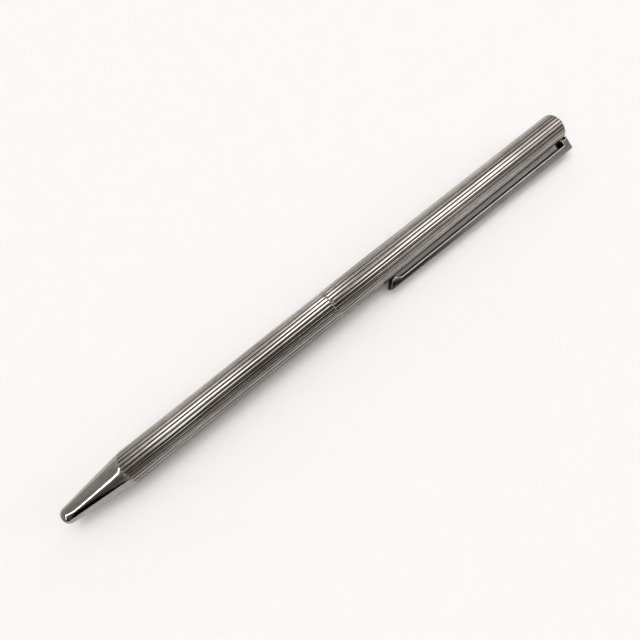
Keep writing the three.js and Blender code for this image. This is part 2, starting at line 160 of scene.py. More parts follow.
# Mechanism and refill
REFILL_RADIUS = 1.175
REFILL_BORE = 1.0
REFILL_START = 0.5
REFILL_LENGTH = 67.0
REFILL_END = REFILL_START + REFILL_LENGTH
BALL_RADIUS = 0.35
BALL_PLACE = REFILL_START + BALL_RADIUS
BALL_HOLD = 0.2
INK_CHANNEL = 0.22
TIP_START = BALL_PLACE - BALL_HOLD
TIP_FACE_RADIUS = 0.42
TIP_CONE = 3.2
TIP_CONE_RADIUS = 1.08
TIP_SHOULDER = 0.6
TIP_STEM_LENGTH = 3.6
SHOULDER_PLACE = TIP_START + TIP_CONE
TUBE_START = SHOULDER_PLACE + TIP_SHOULDER
GUIDE_RADIUS = 2.55
GUIDE_LENGTH_IN_FRONT = 9.8
GUIDE_START = FRONT_LENGTH - GUIDE_LENGTH_IN_FRONT
GRIP_PLACE = 3.0
GRIP_GROOVE = 0.3
GRIP_SECTION = 0.22
LINER_RADIUS = 3.13
LINER_WALL = 0.38
LINER_LENGTH = 15.8
LINER_SETBACK = 0.3
LINER_END = FRONT_LENGTH - LINER_SETBACK

# Fineness of the meshes
ROUND_SIDES = 96
NEARLY_STRAIGHT = 170 * DEGREE
ON_AXIS = 1e-6
WELD = 1e-4

FLOOR_RADIUS = 3000.0

# The pen's axis, in metres: level, on the middle of the end plug.
plug_low, plug_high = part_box("end_plug")
tip_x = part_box("front_barrel")[0].x
AXIS = Vector((tip_x, (plug_low.y + plug_high.y) / 2, (plug_low.z + plug_high.z) / 2))
PLACE = Matrix.Translation(AXIS)
ROLLED_PLACE = PLACE @ Matrix.Rotation(REST_ROLL, 4, "X")


def linear(code):
    """An sRGB hex colour as the linear colour that shaders use."""
    channels = [int(code[i : i + 2], 16) / 255 for i in (1, 3, 5)]
    return [c / 12.92 if c <= 0.04045 else ((c + 0.055) / 1.055) ** 2.4 for c in channels] + [1]


def wire(made, links):
    """Sets a node's inputs: to values, or linked to sockets or other nodes' outputs."""
    for key, value in links.items():
        if isinstance(value, bpy.types.Node):
            value = next(socket for socket in value.outputs if socket.enabled)
        if isinstance(value, bpy.types.NodeSocket):
            made.id_data.links.new(value, made.inputs[key])
        else:
            made.inputs[key].default_value = value


def node(tree, kind, links=None, **settings):
    """Adds a node with its settings and its inputs."""
    made = tree.nodes.new(kind)
    for name, value in settings.items():
        setattr(made, name, value)
    wire(made, links or {})
    return made


# Camera


def aim_camera():
    """The photograph's view: close above the pen, with a wide lens, leaning towards the clip."""
    focal_pixels = 474.9
    picture_pixels = 640
    distance = 100.0
    over_x = 55.98
    over_side = 0.96
    lean = 0.086
    twist = -0.003
    pen_slant = 38.5 * DEGREE
    clip_below_level = 9 * DEGREE
    roll = REST_ROLL - clip_below_level
    side = Vector((0, -math.cos(roll), -math.sin(roll)))
    towards = Vector((0, -math.sin(roll), math.cos(roll)))
    along = Vector((1, 0, 0))
    right = along * math.cos(lean) + towards * math.sin(lean)
    forward = along * math.sin(lean) - towards * math.cos(lean)
    level = right * math.cos(twist) - side * math.sin(twist)
    down = right * math.sin(twist) + side * math.cos(twist)
    x_axis = level * math.cos(pen_slant) + down * math.sin(pen_slant)
    y_axis = level * math.sin(pen_slant) - down * math.cos(pen_slant)
    data = bpy.data.cameras.new("camera")
    data.sensor_width = 36.0
    data.lens = data.sensor_width * focal_pixels / picture_pixels
    data.clip_start = 1 * MM
    camera = bpy.data.objects.new("camera", data)
    bpy.context.scene.collection.objects.link(camera)
    spot = AXIS + (along * over_x + side * over_side + towards * distance) * MM
    turn = Matrix((x_axis, y_axis, -forward)).transposed().to_4x4()
    camera.matrix_world = Matrix.Translation(spot) @ turn
    bpy.context.scene.camera = camera


# Materials

# A Math node's inputs go by number.
MATH = "ShaderNodeMath"

# A Map Range node turns the stretch FROM to UP_TO of its value into the stretch LEAST to MOST.
RANGE = "ShaderNodeMapRange"
VALUE, FROM, UP_TO, LEAST, MOST = range(5)

# A Mix node goes from its first colour to its second by a share.
MIX = "ShaderNodeMix"
SHARE, FIRST, SECOND = 0, 6, 7


def new_material(name):
    """A node material with its principled shader."""
    made = bpy.data.materials.new(name)
    made.use_nodes = True
    tree = made.node_tree
    shader = next(n for n in tree.nodes if n.type == "BSDF_PRINCIPLED")
    return made, tree, shader


def grain(tree, spacing, seed=0.0, detail=3.0):
    """Noise on Object coordinates. spacing is the grain's size in mm along X, Y and Z."""
    place = node(tree, "ShaderNodeTexCoord").outputs["Object"]
    stretch = [1 / (size * MM) for size in spacing]
    mapped = node(
        tree,
        "ShaderNodeMapping",
        {"Vector": place, "Scale": stretch, "Location": (seed, seed, seed)},
    )
    return node(
        tree,
        "ShaderNodeTexNoise",
        {"Vector": mapped, "Scale": 1.0, "Detail": detail, "Roughness": 0.6},
    ).outputs["Fac"]


def plated_metal(name, painted_shade, polish, scratch):
    """Rhodium-plated brass, drawn and polished lengthwise: warm grey, with sharp reflections.

    Handling leaves fine lengthwise scratches, a soft cloudy haze and small warm stains. The flutes
    and the clip's inward faces are painted darker as painted shade, and are duller than the rest:
    the second argument is their colour, and the groove attribute says where.
    """
    made, tree, shader = new_material(name)
    # Scratches are about 0.02 mm wide. They are drawn at 0.1 mm, so that they show.
    scratches = grain(tree, (9.0, 0.1, 0.1), seed=3.0)
    haze = grain(tree, (7.0, 2.5, 2.5), seed=11.0)
    stain = grain(tree, (1.8, 1.2, 1.2), seed=17.0, detail=5.0)
    groove = node(
        tree, "ShaderNodeAttribute", attribute_name="groove", attribute_type="GEOMETRY"
    ).outputs["Fac"]
    hazed = node(tree, RANGE, {VALUE: haze, FROM: 0.35, UP_TO: 0.7})
    stained = node(tree, RANGE, {VALUE: stain, FROM: 0.5, UP_TO: 0.75, MOST: 0.7})
    # Painted shade: the groove attribute darkens the flute floors and the clip's inward faces.
    painted_shade_share = node(tree, RANGE, {VALUE: groove, FROM: 0.02, UP_TO: 0.6})
    clean = node(
        tree,
        MIX,
        {SHARE: hazed, FIRST: linear("#aaa5a0"), SECOND: linear("#99948e")},
        data_type="RGBA",
    )
    worn = node(
        tree, MIX, {SHARE: stained, FIRST: clean, SECOND: linear("#8b827a")}, data_type="RGBA"
    )
    colour = node(
        tree, MIX, {SHARE: painted_shade_share, FIRST: worn, SECOND: linear(painted_shade)}, data_type="RGBA"
    )
    scratched = node(
        tree,
        RANGE,
        {VALUE: scratches, FROM: 0.3, UP_TO: 0.75, LEAST: polish, MOST: polish + scratch},
    )
    dull = node(tree, RANGE, {VALUE: groove, FROM: 0.2, UP_TO: 1.0, MOST: 0.3})
    rough = node(tree, MATH, {0: scratched, 1: dull}, operation="ADD")
    bump = node(
        tree, "ShaderNodeBump", {"Height": scratches, "Strength": 0.06, "Distance": 0.02 * MM}
    )
    wire(shader, {"Base Color": colour, "Roughness": rough, "Normal": bump, "Metallic": 1.0})
    return made


def turned_metal(name, light, dark, polish, spacing=0.12):
    """Metal bar turned on a lathe: fine rings across the axis, with a little stain."""
    made, tree, shader = new_material(name)
    # Tool marks are about 0.03 mm apart. They are drawn wider, so that they show.
    rings = grain(tree, (spacing, 40.0, 40.0), seed=5.0, detail=2.0)
    stain = grain(tree, (4.0, 1.5, 1.5), seed=2.0)
    stained = node(tree, RANGE, {VALUE: stain, FROM: 0.35, UP_TO: 0.75})
    colour = node(
        tree, MIX, {SHARE: stained, FIRST: linear(light), SECOND: linear(dark)}, data_type="RGBA"
    )
    rough = node(
        tree, RANGE, {VALUE: rings, FROM: 0.3, UP_TO: 0.7, LEAST: polish, MOST: polish + 0.15}
    )
    bump = node(
        tree, "ShaderNodeBump", {"Height": rings, "Strength": 0.2, "Distance": 0.01 * MM}
    )
    wire(shader, {"Base Color": colour, "Roughness": rough, "Normal": bump, "Metallic": 1.0})
    return made


def moulded(name, light, dark, rough, ior, size=0.4):
    """Moulded plastic or rubber, also ink and grease: one clouded colour with a fine skin.

    size is the skin's grain in mm, which is drawn coarser than the real one, so that it shows.
    """
    made, tree, shader = new_material(name)
    cloud = grain(tree, (2.0, 2.0, 2.0), seed=1.0)
    skin = grain(tree, (size, size, size), seed=7.0)
    clouded = node(tree, RANGE, {VALUE: cloud, FROM: 0.35, UP_TO: 0.7})
    colour = node(
        tree, MIX, {SHARE: clouded, FIRST: linear(light), SECOND: linear(dark)}, data_type="RGBA"
    )
    worn = node(
        tree, RANGE, {VALUE: skin, FROM: 0.3, UP_TO: 0.7, LEAST: rough, MOST: rough + 0.12}
    )
    bump = node(
        tree, "ShaderNodeBump", {"Height": skin, "Strength": 0.15, "Distance": 0.01 * MM}
    )
    wire(shader, {"Base Color": colour, "Roughness": worn, "Normal": bump, "IOR": ior})
    return made


# Its second colour is painted shade in the flute floors.
plate = plated_metal("rhodium_plate_polished", "#484139", polish=0.04, scratch=0.06)
# The same plating on the clip and the end plug: a little duller, with darker painted shade on the
# clip's inward faces.
clip_plate = plated_metal("rhodium_plate_satin", "#1c1916", polish=0.1, scratch=0.08)
# Bare yellow alloy, dulled a little: warm, with soft reflections.
brass = turned_metal("brass_turned", "#c9a55a", "#a98742", polish=0.2)
# White alloy of the refill's point: pale, faintly yellow and finely turned.
nickel_silver = turned_metal(
    "nickel_silver_turned", "#bcb7a8", "#a39d8c", polish=0.16, spacing=0.08
)
# Hardened steel, ground: a neutral grey with a fine sheen.
steel = turned_metal("steel_ground", "#b4b5b6", "#98999a", polish=0.18)
# Slippery milky plastic with a waxy shine.
acetal = moulded("acetal_moulded", "#e4e1d8", "#d6d2c6", rough=0.35, ior=1.48)
# Dark plastic with a half-matt skin.
nylon = moulded("nylon_moulded", "#2b2a29", "#232221", rough=0.45, ior=1.53)
# Black rubber: matt, with a fine skin.
rubber = moulded(
    "nitrile_rubber_moulded", "#1b1b1b", "#141414", rough=0.6, ior=1.52, size=0.15
)
# Thick blue paste, wet and almost black in bulk.
ink = moulded("ballpoint_ink", "#14224f", "#0f1a40", rough=0.1, ior=1.5)
# Pale yellowish gel with a wet shine.
grease = moulded("follower_grease", "#d9d2b0", "#cbc39d", rough=0.15, ior=1.47)


# Meshes


def settled(mesh, place, smooth_below=32):
    """Puts a mesh made in millimetres where it belongs, in metres, and shades it smooth."""
    mesh.transform(place @ Matrix.Scale(MM, 4))
    mesh.shade_smooth()
    mesh.set_sharp_from_angle(angle=smooth_below * DEGREE)
    return mesh


def shown(name, mesh, material, body, replaced):
    """Links a finished mesh as a piece that rides on a body and stands for a solid."""
    mesh.materials.clear()
    mesh.materials.append(material)
    piece = bpy.data.objects.new(name, mesh)
    bpy.context.scene.collection.objects.link(piece)
    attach(piece, body)
    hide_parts(replaced)


def arc(centre, radius, start, end, steps):
    """Points on an arc in the (x, radius) plane. Angles are in radians from +x."""
    turn = [start + (end - start) * i / steps for i in range(steps + 1)]
    return [(centre[0] + radius * math.cos(a), centre[1] + radius * math.sin(a)) for a in turn]


def softened(section, size, steps=3):
    """A closed section with each corner rounded; size may not pass a third of a side."""
    points = []
    count = len(section)
    for i, corner in enumerate(section):
        here = Vector(corner)
        back = Vector(section[i - 1]) - here
        ahead = Vector(section[(i + 1) % count]) - here
        reach = min(size, back.length / 3, ahead.length / 3)
        if corner[1] < ON_AXIS or back.angle(ahead, math.pi) > NEARLY_STRAIGHT:
            points.append(corner)
            continue
        first = here + back.normalized() * reach
        last = here + ahead.normalized() * reach
        for k in range(steps + 1):
            t = k / steps
            point = first * (1 - t) ** 2 + here * 2 * t * (1 - t) + last * t**2
            points.append((point.x, point.y))
    return points


def turned(section, angles, skin=0):
    """A closed section turned about the axis. The first skin points get the skin attribute."""
    mesh = bpy.data.meshes.new("turned")
    count = len(angles)
    points = [(x, -r * math.sin(a), r * math.cos(a)) for x, r in section for a in angles]
    rings = len(section)
    faces = []
    for k in range(rings):
        ahead = (k + 1) % rings
        if section[k][1] < ON_AXIS and section[ahead][1] < ON_AXIS:
            continue
        for i in range(count):
            j = (i + 1) % count
            faces.append((k * count + i, k * count + j, ahead * count + j, ahead * count + i))
    mesh.from_pydata(points, [], faces)
    if skin:
        marks = mesh.attributes.new("skin", "FLOAT", "POINT")
        marked = skin * count
        marks.data.foreach_set("value", [float(i < marked) for i in range(len(points))])
    shape = bmesh.new()
    shape.from_mesh(mesh)
    bmesh.ops.remove_doubles(shape, verts=shape.verts, dist=WELD)
    bmesh.ops.recalc_face_normals(shape, faces=shape.faces)
    shape.to_mesh(mesh)
    shape.free()
    return mesh


def round_angles(sides=ROUND_SIDES):
    """Evenly spaced angles all the way round."""
    return [2 * math.pi * i / sides for i in range(sides)]


def tube_section(start, end, outer, inner):
    """The section of a plain tube."""
    return [(start, outer), (end, outer), (end, inner), (start, inner)]


def flute_angles(first):
    """The angles of a fluted tube's points, from the middle of its first land."""
    pitch = 2 * math.pi / FLUTES
    return [first + (i + share) * pitch for i in range(FLUTES) for share in FLUTE_POINTS]


def flute_tree():
    """Geometry Nodes: sinks the flutes into the outer skin of a turned tube.

    A flute is a groove between two lands. Its depth follows from the angle about the axis, and
    it runs out at both ends. The skin attribute keeps the bore as it is. The groove attribute
    tells the material where the floors are, which it darkens as painted shade.
    """
    tree = bpy.data.node_groups.new("flutes", "GeometryNodeTree")
    face = tree.interface
    face.new_socket("Geometry", in_out="INPUT", socket_type="NodeSocketGeometry")
    for name in (
        "Flutes", "Depth", "Crown", "Land share", "Floor share",
        "First land", "Start", "End", "Run-out", "End round",
    ):
        face.new_socket(name, in_out="INPUT", socket_type="NodeSocketFloat")
    face.new_socket("Metal", in_out="INPUT", socket_type="NodeSocketMaterial")
    face.new_socket("Geometry", in_out="OUTPUT", socket_type="NodeSocketGeometry")
    given = node(tree, "NodeGroupInput").outputs
    place = node(tree, "GeometryNodeInputPosition")
    parts = node(tree, "ShaderNodeSeparateXYZ", {0: place}).outputs

    # share: how far from the middle of the nearest land, from 0 to 0.5 of a pitch.
    side = node(tree, MATH, {0: parts[1], 1: -1.0}, operation="MULTIPLY")
    angle = node(tree, MATH, {0: side, 1: parts[2]}, operation="ARCTAN2")
    past_first = node(tree, MATH, {0: angle, 1: given["First land"]}, operation="SUBTRACT")
    turns = node(tree, MATH, {0: past_first, 1: 2 * math.pi}, operation="DIVIDE")
    counted = node(tree, MATH, {0: turns, 1: given["Flutes"], 2: 0.5}, operation="MULTIPLY_ADD")
    within = node(tree, MATH, {0: counted}, operation="FRACT")
    signed = node(tree, MATH, {0: within, 1: 0.5}, operation="SUBTRACT")
    share = node(tree, MATH, {0: signed}, operation="ABSOLUTE")

    # wall: 0 on a land, 1 on a floor. A land is also slightly crowned.
    half_land = node(tree, MATH, {0: given["Land share"], 1: 0.5}, operation="MULTIPLY")
    floor = node(
        tree, MATH, {0: given["Floor share"], 1: -0.5, 2: 0.5}, operation="MULTIPLY_ADD"
    )
    wall = node(
        tree,
        RANGE,
        {VALUE: share, FROM: half_land, UP_TO: floor},
        interpolation_type="SMOOTHSTEP",
    )
    over_land = node(tree, MATH, {0: share, 1: half_land}, operation="DIVIDE", use_clamp=True)
    squared = node(tree, MATH, {0: over_land, 1: 2.0}, operation="POWER")
    crown = node(tree, MATH, {0: squared, 1: given["Crown"]}, operation="MULTIPLY")

    # A flute's ends are round: its middle reaches further than its sides.
    to_middle = node(tree, MATH, {0: 0.5, 1: share}, operation="SUBTRACT")
    half_groove = node(tree, MATH, {0: 0.5, 1: half_land}, operation="SUBTRACT")
    aside = node(tree, MATH, {0: to_middle, 1: half_groove}, operation="DIVIDE", use_clamp=True)
    rounded = node(tree, MATH, {0: aside, 1: 2.0}, operation="POWER")
    lag = node(tree, MATH, {0: rounded, 1: given["End round"]}, operation="MULTIPLY")
    past_start = node(tree, MATH, {0: parts[0], 1: given["Start"]}, operation="SUBTRACT")
    to_end = node(tree, MATH, {0: given["End"], 1: parts[0]}, operation="SUBTRACT")
    present = node(
        tree, "GeometryNodeInputNamedAttribute", {"Name": "skin"}, data_type="FLOAT"
    )
    for reach in (past_start, to_end):
        inside = node(tree, MATH, {0: reach, 1: lag}, operation="SUBTRACT")
        begun = node(
            tree,
            RANGE,
            {VALUE: inside, UP_TO: given["Run-out"]},
            interpolation_type="SMOOTHSTEP",
        )
        present = node(tree, MATH, {0: present, 1: begun}, operation="MULTIPLY")

    deep = node(
        tree, MATH, {0: wall, 1: given["Depth"], 2: crown}, operation="MULTIPLY_ADD"
    )
    sunk = node(tree, MATH, {0: deep, 1: present}, operation="MULTIPLY")
    inwards = node(tree, MATH, {0: sunk, 1: -1.0}, operation="MULTIPLY")
    out = node(tree, "ShaderNodeCombineXYZ", {1: parts[1], 2: parts[2]})
    unit = node(tree, "ShaderNodeVectorMath", {0: out}, operation="NORMALIZE")
    shift = node(tree, "ShaderNodeVectorMath", {0: unit, "Scale": inwards}, operation="SCALE")
    moved = node(
        tree, "GeometryNodeSetPosition", {"Geometry": given["Geometry"], "Offset": shift}
    )
    groove = node(tree, MATH, {0: wall, 1: present}, operation="MULTIPLY")
    marked = node(
        tree,
        "GeometryNodeStoreNamedAttribute",
        {"Geometry": moved, "Name": "groove", "Value": groove},
        data_type="FLOAT",
        domain="POINT",
    )
    real = node(tree, "GeometryNodeRealizeInstances", {0: marked})
    coated = node(
        tree, "GeometryNodeSetMaterial", {"Geometry": real, "Material": given["Metal"]}
    )
    node(tree, "NodeGroupOutput", {0: coated})
    return tree


FLUTE_TREE = flute_tree()


def fluted(blank, first_land, start, end, metal):
    """The plain mesh that the flute tree makes of a blank."""
    source = bpy.data.objects.new("blank", blank)
    bpy.context.scene.collection.objects.link(source)
    cutter = source.modifiers.new("flutes", "NODES")
    cutter.node_group = FLUTE_TREE
    sizes = {
        "Flutes": float(FLUTES),
        "Depth": FLUTE_DEPTH,
        "Crown": LAND_CROWN,
        "Land share": LAND_SHARE,
        "Floor share": FLOOR_SHARE,
        "First land": first_land,
        "Start": start,
        "End": end,
        "Run-out": FLUTE_RUNOUT,
        "End round": FLUTE_END_ROUND,
        "Metal": metal,
    }
    for item in FLUTE_TREE.interface.items_tree:
        if item.in_out == "INPUT" and item.name in sizes:
            cutter[item.identifier] = sizes[item.name]
    return plain_copy(source)


def plain_copy(source):
    """The evaluated mesh of an object, which is then removed with its modifiers."""
    ready = source.evaluated_get(bpy.context.evaluated_depsgraph_get())
    mesh = bpy.data.meshes.new_from_object(ready)
    bpy.data.objects.remove(source)
    return mesh


def joined(first, second, operation):
    """Two closed meshes joined or cut by Blender's exact boolean."""
    one = bpy.data.objects.new("one", first)
    two = bpy.data.objects.new("two", second)
    for thing in (one, two):
        bpy.context.scene.collection.objects.link(thing)
    cut = one.modifiers.new("cut", "BOOLEAN")
    cut.operation = operation
    cut.solver = "EXACT"
    cut.object = two
    mesh = plain_copy(one)
    bpy.data.objects.remove(two)
    return mesh


def box_mesh(low, high):
    """A closed box between two corners."""
    shape = bmesh.new()
    bmesh.ops.create_cube(shape, size=1.0)
    size = Vector(high) - Vector(low)
    middle = (Vector(high) + Vector(low)) / 2
    bmesh.ops.transform(
        shape,
        matrix=Matrix.Translation(middle) @ Matrix.Diagonal((*size, 1)),
        verts=shape.verts,
    )
    mesh = bpy.data.meshes.new("box")
    shape.to_mesh(mesh)
    shape.free()
    return mesh


# Barrels


def rear_radius(x):
    """The rear barrel's outer radius, which tapers evenly from the seam to the rim."""
    share = (x - REAR_START) / (RIM_PLACE - REAR_START)
    return BARREL_RADIUS + (TOP_RADIUS - BARREL_RADIUS) * share


def cone_radius(x):
    """The nose cone's outer radius."""
    return LIP_RADIUS + CONE_RISE * (x - LIP_LENGTH)


def close_rings(start, end, radius, gaps):
    """Section points crowded near both ends, where the flutes run out."""
    near = [start + g for g in gaps]
    far = [end - g for g in reversed(gaps)]
    return [(x, radius(x)) for x in near + far]


def make_front_barrel():
    """Rounded lip, smooth cone, bent shoulder and fluted tube, drawn in one piece."""
    lip = [
        (LIP_LENGTH * (1 - math.cos(a)), NOSE_HOLE + LIP_HEIGHT * math.sin(a))
        for a in [math.pi / 2 * i / LIP_STEPS for i in range(LIP_STEPS)]
    ]
    blend_start = CONE_LENGTH - CONE_BLEND
    cone = [(x, cone_radius(x)) for x in CONE_RINGS]
    bend = []
    for i in range(BEND_STEPS + 1):
        t = 2 * CONE_BLEND * i / BEND_STEPS
        drop = CONE_RISE * (t - t * t / (4 * CONE_BLEND))
        bend.append((blend_start + t, cone_radius(blend_start) + drop))
    tube = close_rings(
        CONE_LENGTH + CONE_BLEND, FRONT_LENGTH, lambda x: BARREL_RADIUS, FRONT_TUBE_RINGS
    )
    edge = FRONT_LENGTH - SEAM_CHAMFER
    tube = [point for point in tube if point[0] < edge - LEAST_RING_GAP]
    seam = arc((edge, BARREL_RADIUS - SEAM_CHAMFER), SEAM_CHAMFER, math.pi / 2, 0, steps=4)
    outer = lip + cone + bend + tube + seam
    inner = [
        (FRONT_LENGTH, FRONT_BORE),
        (CONE_LENGTH, FRONT_BORE),
        (LIP_DEPTH, cone_radius(LIP_DEPTH) - SHELL_WALL),
        (LIP_DEPTH, NOSE_HOLE),
    ]
    first = math.pi / 2 + REST_ROLL + FRONT_FLUTE_TURN
    blank = turned(outer + inner, flute_angles(first), len(outer))
    mesh = fluted(
        blank, first, CONE_LENGTH - SHOULDER_LEAD, FRONT_LENGTH + SEAM_OVERRUN, plate
    )
    shown(
        "front_barrel_shell", settled(mesh, PLACE), plate, "front",
        "front_barrel",
    )


def make_rear_barrel():
    """Fluted tube that tapers to the top end, with a notch for the clip's tang."""
    edge = REAR_START + SEAM_CHAMFER
    seam = arc(
        (edge, BARREL_RADIUS - SEAM_CHAMFER), SEAM_CHAMFER, math.pi, math.pi / 2, steps=4
    )
    bend = RIM_PLACE - RIM_ROUND
    tube = close_rings(edge, bend, rear_radius, REAR_TUBE_RINGS)
    rim = arc((bend, rear_radius(bend) - RIM_ROUND), RIM_ROUND, math.pi / 2, 0, steps=8)
    cam_end = REAR_START + CAM_BORE_LENGTH
    inner = [
        (RIM_PLACE, TOP_BORE),
        (cam_end, TOP_BORE),
        (cam_end, CAM_BORE),
        (REAR_START, CAM_BORE),
    ]
    outer = seam + tube + rim
    first = math.pi / 2 + REAR_FLUTE_TURN
    blank = turned(outer + inner, flute_angles(first), len(outer))
    mesh = fluted(blank, first, REAR_START - SEAM_OVERRUN, RIM_PLACE + RIM_OVERRUN, plate)
    half_notch = TANG_WIDTH / 2 + FLEXING
    notch = box_mesh(
        (TANG_START - FLEXING, -BARREL_RADIUS - CUT_MARGIN, -half_notch),
        (PEN_LENGTH + CUT_MARGIN, 0, half_notch),
    )
    mesh = joined(mesh, notch, "DIFFERENCE")
    shown(
        "rear_barrel_shell", settled(mesh, ROLLED_PLACE), plate, "rear",
        "rear_barrel",
    )


# Clip


def near_corner(x, radius, turn):
    """The points of a turn at a sharp corner of the clip's outline."""
    return [(x + along, radius - inwards) for along, inwards in turn]


def clip_outline():
    """The clip seen from its side, as points (x, distance from the axis)."""
    free_end = PEN_LENGTH - CLIP_LENGTH

    def outer(x):
        return CLIP_INNER + CLIP_FREE + (CLIP_FOOT - CLIP_FREE) * (x - free_end) / CLIP_LENGTH

    outer_free = outer(free_end)
    arc_run = NOSE_ROUND * math.sin(NOSE_FRONT_SLOPE)
    arc_rise = NOSE_ROUND * (1 - math.cos(NOSE_FRONT_SLOPE))
    gap = SEATED + TURNING
    guess = rear_radius(free_end) + gap
    nose_x = free_end + (outer_free - guess - arc_rise) / math.tan(NOSE_FRONT_SLOPE) + arc_run
    centre = rear_radius(nose_x) + gap + NOSE_ROUND
    back_radius = centre - NOSE_ROUND * math.cos(NOSE_BACK_SLOPE)
    back_x = nose_x + NOSE_ROUND * math.sin(NOSE_BACK_SLOPE)
    inner_x = back_x + (CLIP_INNER - back_radius) / math.tan(NOSE_BACK_SLOPE)
    foot_x = PEN_LENGTH - FOOT_LENGTH
    foot_inner = TOP_RADIUS + FLEXING
    hook_x = RIM_PLACE + SEATED
    hook_inner = TOP_BORE - SEATED + FLEXING
    down = -math.pi / 2
    nose = arc(
        (nose_x, centre),
        NOSE_ROUND,
        down - NOSE_FRONT_SLOPE,
        down + NOSE_BACK_SLOPE,
        steps=20,
    )
    valley_start = (inner_x - VALLEY_RUN, CLIP_INNER - VALLEY_RUN * math.tan(NOSE_BACK_SLOPE))
    valley = [valley_start] + near_corner(inner_x, CLIP_INNER, VALLEY_TURN)
    foot = near_corner(foot_x, CLIP_INNER, FOOT_TURN)
    hook = [
        (foot_x, foot_inner),
        (hook_x, foot_inner),
        (hook_x, hook_inner),
        (PEN_LENGTH, hook_inner),
    ]
    top_corner = arc(
        (PEN_LENGTH - CLIP_EDGE, CLIP_OUTER - CLIP_EDGE), CLIP_EDGE, 0, math.pi / 2, steps=5
    )
    free_start = (free_end + 2 * CLIP_EDGE, outer(free_end + 2 * CLIP_EDGE))
    free_corner = [free_start] + near_corner(free_end, outer_free, FREE_TURN)
    return nose + valley + foot + hook + top_corner + free_corner


def clip_painted_shade(face):
    """How dark a face of the clip is painted, as painted shade and dark reflection: the foot's
    inner wall most, then what faces the barrel.
    """
    to_tip = -face.normal.x
    to_barrel = face.normal.y
    from_axis = -face.center.y
    from_foot = PEN_LENGTH - face.center.x
    from_free_end = face.center.x - (PEN_LENGTH - CLIP_LENGTH)
    if from_foot < FOOT_STRETCH and to_tip > FOOT_TO_TIP:
        return FOOT_PAINTED_SHADE
    if from_free_end < FREE_END_STRETCH and to_tip > FREE_END_TO_TIP:
        return FREE_END_PAINTED_SHADE
    if to_barrel > INNER_TO_BARREL and from_axis > TOP_RADIUS:
        return INNER_PAINTED_SHADE
    return 0.0


def make_clip():
    """Solid bar with softened edges, joined to the tang whose eye is clamped inside."""
    outline = clip_outline()
    shape = bmesh.new()
    near = [shape.verts.new((x, -r, -CLIP_WIDTH / 2)) for x, r in outline]
    side = shape.faces.new(near)
    pushed = bmesh.ops.extrude_face_region(shape, geom=[side])
    moved = [v for v in pushed["geom"] if isinstance(v, bmesh.types.BMVert)]
    bmesh.ops.translate(shape, vec=(0, 0, CLIP_WIDTH), verts=moved)
    bmesh.ops.recalc_face_normals(shape, faces=shape.faces)
    # The edges of the bar's two sides. Those across its width stay as the outline has them.
    edges = [e for e in shape.edges if abs(e.verts[0].co.z - e.verts[1].co.z) < WELD]
    bmesh.ops.bevel(
        shape,
        geom=edges,
        offset=CLIP_SIDE_EDGE,
        segments=4,
        profile=0.5,
        affect="EDGES",
        clamp_overlap=True,
    )
    many_sided = [face for face in shape.faces if len(face.verts) > 4]
    bmesh.ops.triangulate(shape, faces=many_sided)
    bar = bpy.data.meshes.new("bar")
    shape.to_mesh(bar)
    shape.free()
    # The tang reaches into the foot at one end and into the eye's ring at the other.
    tang = box_mesh(
        (TANG_START, -(TOP_RADIUS + 2 * FLEXING), -TANG_WIDTH / 2),
        (TANG_END, -PLUG_STEM - FLEXING - TANG_OVERLAP, TANG_WIDTH / 2),
    )
    eye_section = tube_section(TANG_START, TANG_END, TANG_EYE, PLUG_STEM + FLEXING)
    eye = turned(eye_section, round_angles(ROUND_SIDES // 2))
    mesh = joined(joined(bar, tang, "UNION"), eye, "UNION")
    # Painted shade: the clip's foot wall, free end and inward faces are marked to be painted
    # darker.
    shade_marks = mesh.attributes.new("groove", "FLOAT", "FACE")
    shade_marks.data.foreach_set("value", [clip_painted_shade(face) for face in mesh.polygons])
    shown(
        "clip_bar_solid", settled(mesh, ROLLED_PLACE, smooth_below=40), clip_plate,
        "clip_bar", "clip",
    )


# Turned pieces


def make_turned(name, section, material, body, replaced, place=PLACE, soft=0.05):
    """A piece turned from a section, with its edges softened by soft millimetres."""
    mesh = turned(softened(section, soft), round_angles())
    shown(name, settled(mesh, place), material, body, replaced)


def make_end_plug():
    """Plated disc in the rear barrel's end, on the stem that holds the clip's eye."""
    section = [
        (PLUG_FACE - PLUG_STEM_LENGTH, 0.0),
        (PLUG_FACE - PLUG_STEM_LENGTH, PLUG_STEM),
        (PLUG_FACE, PLUG_STEM),
        (PLUG_FACE, TOP_BORE - SEATED),
        (PEN_LENGTH - PLUG_EDGE, TOP_BORE - SEATED),
        (PEN_LENGTH, TOP_BORE - SEATED - PLUG_EDGE),
        (PEN_LENGTH, 0.0),
    ]
    make_turned(
        "end_plug_disc", section, clip_plate, "rear", "end_plug",
        place=ROLLED_PLACE, soft=0.1,
    )


def make_seam_washer():
    """Dark washer behind the liner, inside the seam: it keeps the barrels a hair apart."""
    bore = GUIDE_RADIUS + TURNING
    section = tube_section(LINER_END + SEATED, REAR_START - SEATED, LINER_RADIUS, bore)
    make_turned(
        "seam_washer_ring", section, nylon, "mechanism", "seam_washer", soft=0.03
    )


def make_liner():
    """Brass liner in the front barrel's end, which slides on the mechanism's guide tube."""
    start = LINER_END - LINER_LENGTH
    bore = LINER_RADIUS - LINER_WALL
    section = tube_section(start, LINER_END, LINER_RADIUS, bore)
    make_turned("front_liner_tube", section, brass, "front", "front_liner")


def make_grip_ring():
    """Rubber ring in the guide tube's groove, which holds the front barrel on."""
    centre = GUIDE_START + GRIP_PLACE + GRIP_SECTION + SEATED
    radius = GUIDE_RADIUS - GRIP_GROOVE + SEATED + GRIP_SECTION
    ring = arc((centre, radius), GRIP_SECTION, 2 * math.pi, 0, steps=20)[:-1]
    mesh = settled(turned(ring, round_angles()), PLACE, smooth_below=60)
    shown("grip_ring_cord", mesh, rubber, "mechanism", "grip_ring")


